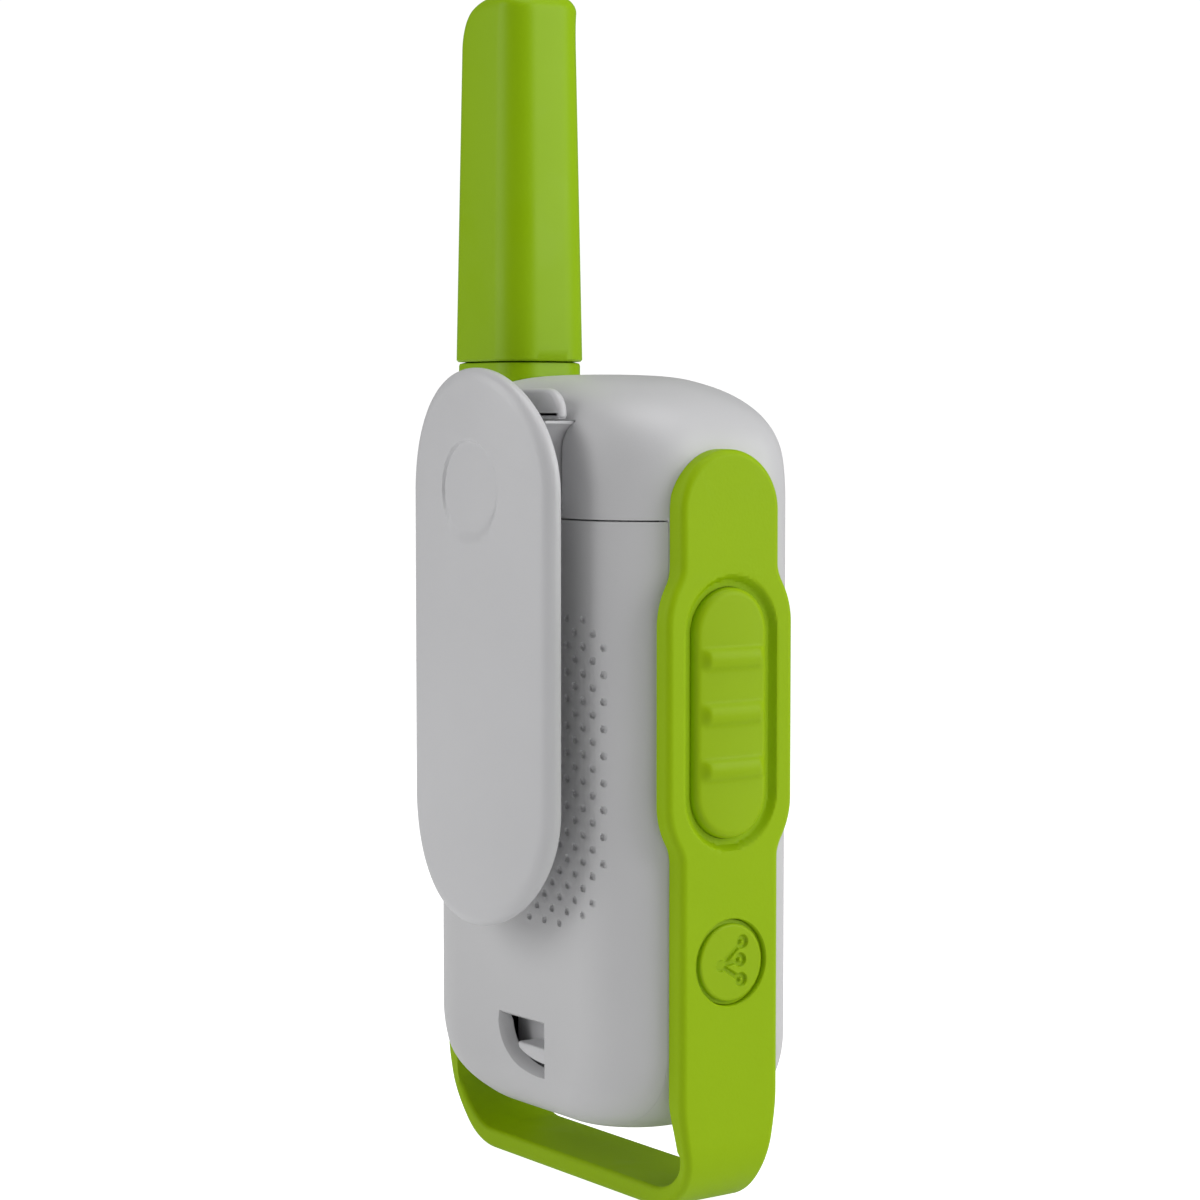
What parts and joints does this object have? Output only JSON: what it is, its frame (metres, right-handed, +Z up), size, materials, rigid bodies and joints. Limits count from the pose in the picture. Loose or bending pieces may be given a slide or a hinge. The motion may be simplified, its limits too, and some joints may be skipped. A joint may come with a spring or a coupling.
{
  "type": "toy walkie talkie",
  "caption": "Hand-held toy two-way radio with a green strap and loop, side talk button, belt clip, battery door and stub aerial.",
  "frame": {"origin": "middle of the flat underside of the strap's loop, on which the radio stands", "axes": "+Z up along the aerial, +Y out of the back with the belt clip and the battery door, so the display and keys face -Y; the talk button is on the -X side"},
  "size_m": [0.055, 0.0364, 0.1557],
  "materials": {
    "light_grey_abs": "fine moulded satin",
    "grey_abs_catch": "smooth satin",
    "light_grey_clip": "smooth satin with a soft sheen",
    "green_tpe": "soft-touch matt elastomer",
    "green_tpe_button": "soft-touch matt elastomer",
    "green_aerial": "smooth satin elastomer",
    "nylon_former": "natural nylon",
    "copper_wire": "enamelled copper",
    "sprung_bronze": "pressed and plated",
    "smoked_lens": "polished",
    "display_glass": "polarised glass",
    "white_frame": "moulded",
    "green_key": "soft-touch matt elastomer",
    "black_switch": "moulded",
    "circuit_board": "solder mask",
    "tinned_steel": "tinned",
    "speaker_black": "stove enamel",
    "speaker_paper": "pressed paper",
    "ferrite": "ground ferrite",
    "felt": "thin felt",
    "dark_abs": "moulded",
    "cell_jacket": "printed steel jacket",
    "nickel_contact": "nickel plated",
    "zinc_screw": "zinc plated"
  },
  "bodies": {
    "housing": {"main_housing": "light_grey_abs", "side_strap": "green_tpe", "clip_bridge": "light_grey_abs", "aerial_sheath": "green_aerial", "aerial_collar": "green_aerial", "aerial_core": "nylon_former", "aerial_coil": "copper_wire", "aerial_contact": "sprung_bronze", "display_lens": "smoked_lens", "lcd_module": "display_glass", "lcd_holder": "white_frame", "key_switches": "black_switch", "main_board": "circuit_board", "rf_shield": "tinned_steel", "speaker_frame": "speaker_black", "speaker_cone": "speaker_paper", "speaker_magnet": "ferrite", "speaker_felt": "felt", "microphone": "tinned_steel", "ptt_switch": "black_switch", "pair_switch": "black_switch", "battery_tray": "dark_abs", "cell_left": "cell_jacket", "cell_middle": "cell_jacket", "cell_right": "cell_jacket", "contact_springs": "nickel_contact", "contact_plates": "nickel_contact", "tray_screws": "zinc_screw", "board_screws": "zinc_screw"},
    "door": {"battery_door": "light_grey_abs"},
    "catch": {"door_latch": "grey_abs_catch"},
    "talk": {"ptt_button": "green_tpe_button"},
    "pair": {"pair_button": "green_tpe_button"},
    "paddle": {"clip_paddle": "light_grey_clip"},
    "release": {"clip_release_tab": "light_grey_clip"},
    "menu": {"menu_key": "green_key"},
    "up": {"up_key": "green_key"},
    "down": {"down_key": "green_key"}
  },
  "joints": [
    {"name": "door_swing", "type": "hinge", "parent": "housing", "child": "door", "pos_m": [0, 0.0119, 0.0883], "axis": [1, 0, 0], "range_deg": [0, 3.5]},
    {"name": "catch_slide", "type": "slide", "parent": "door", "child": "catch", "axis": [0, 0, 1], "range_m": [0, 0.0021]},
    {"name": "talk_press", "type": "slide", "parent": "housing", "child": "talk", "axis": [1, 0, 0], "range_m": [0, 0.0008], "stiffness_N_per_m": 900, "springref_m": -0.0008},
    {"name": "pair_press", "type": "slide", "parent": "housing", "child": "pair", "axis": [1, 0, 0], "range_m": [0, 0.0005], "stiffness_N_per_m": 900, "springref_m": -0.0006},
    {"name": "menu_press", "type": "slide", "parent": "housing", "child": "menu", "axis": [0, 1, 0], "range_m": [0, 0.0005], "stiffness_N_per_m": 800, "springref_m": -0.0006},
    {"name": "up_press", "type": "slide", "parent": "housing", "child": "up", "axis": [0, 1, 0], "range_m": [0, 0.0005], "stiffness_N_per_m": 800, "springref_m": -0.0006},
    {"name": "down_press", "type": "slide", "parent": "housing", "child": "down", "axis": [0, 1, 0], "range_m": [0, 0.0005], "stiffness_N_per_m": 800, "springref_m": -0.0006},
    {"name": "clip_open", "type": "hinge", "parent": "housing", "child": "paddle", "pos_m": [0, 0.0184, 0.0994], "axis": [1, 0, 0], "range_deg": [0, 6], "stiffness_Nm_per_rad": 2.5, "springref_deg": -2.86},
    {"name": "tab_release", "type": "hinge", "parent": "housing", "child": "release", "pos_m": [0, 0.0153, 0.0895], "axis": [-1, 0, 0], "range_deg": [0, 5], "stiffness_Nm_per_rad": 0.4, "springref_deg": -2.86}
  ],
  "couplings": [
    {"joint": "catch_slide", "follows": "door_swing", "m_per_rad": 0.034}
  ]
}
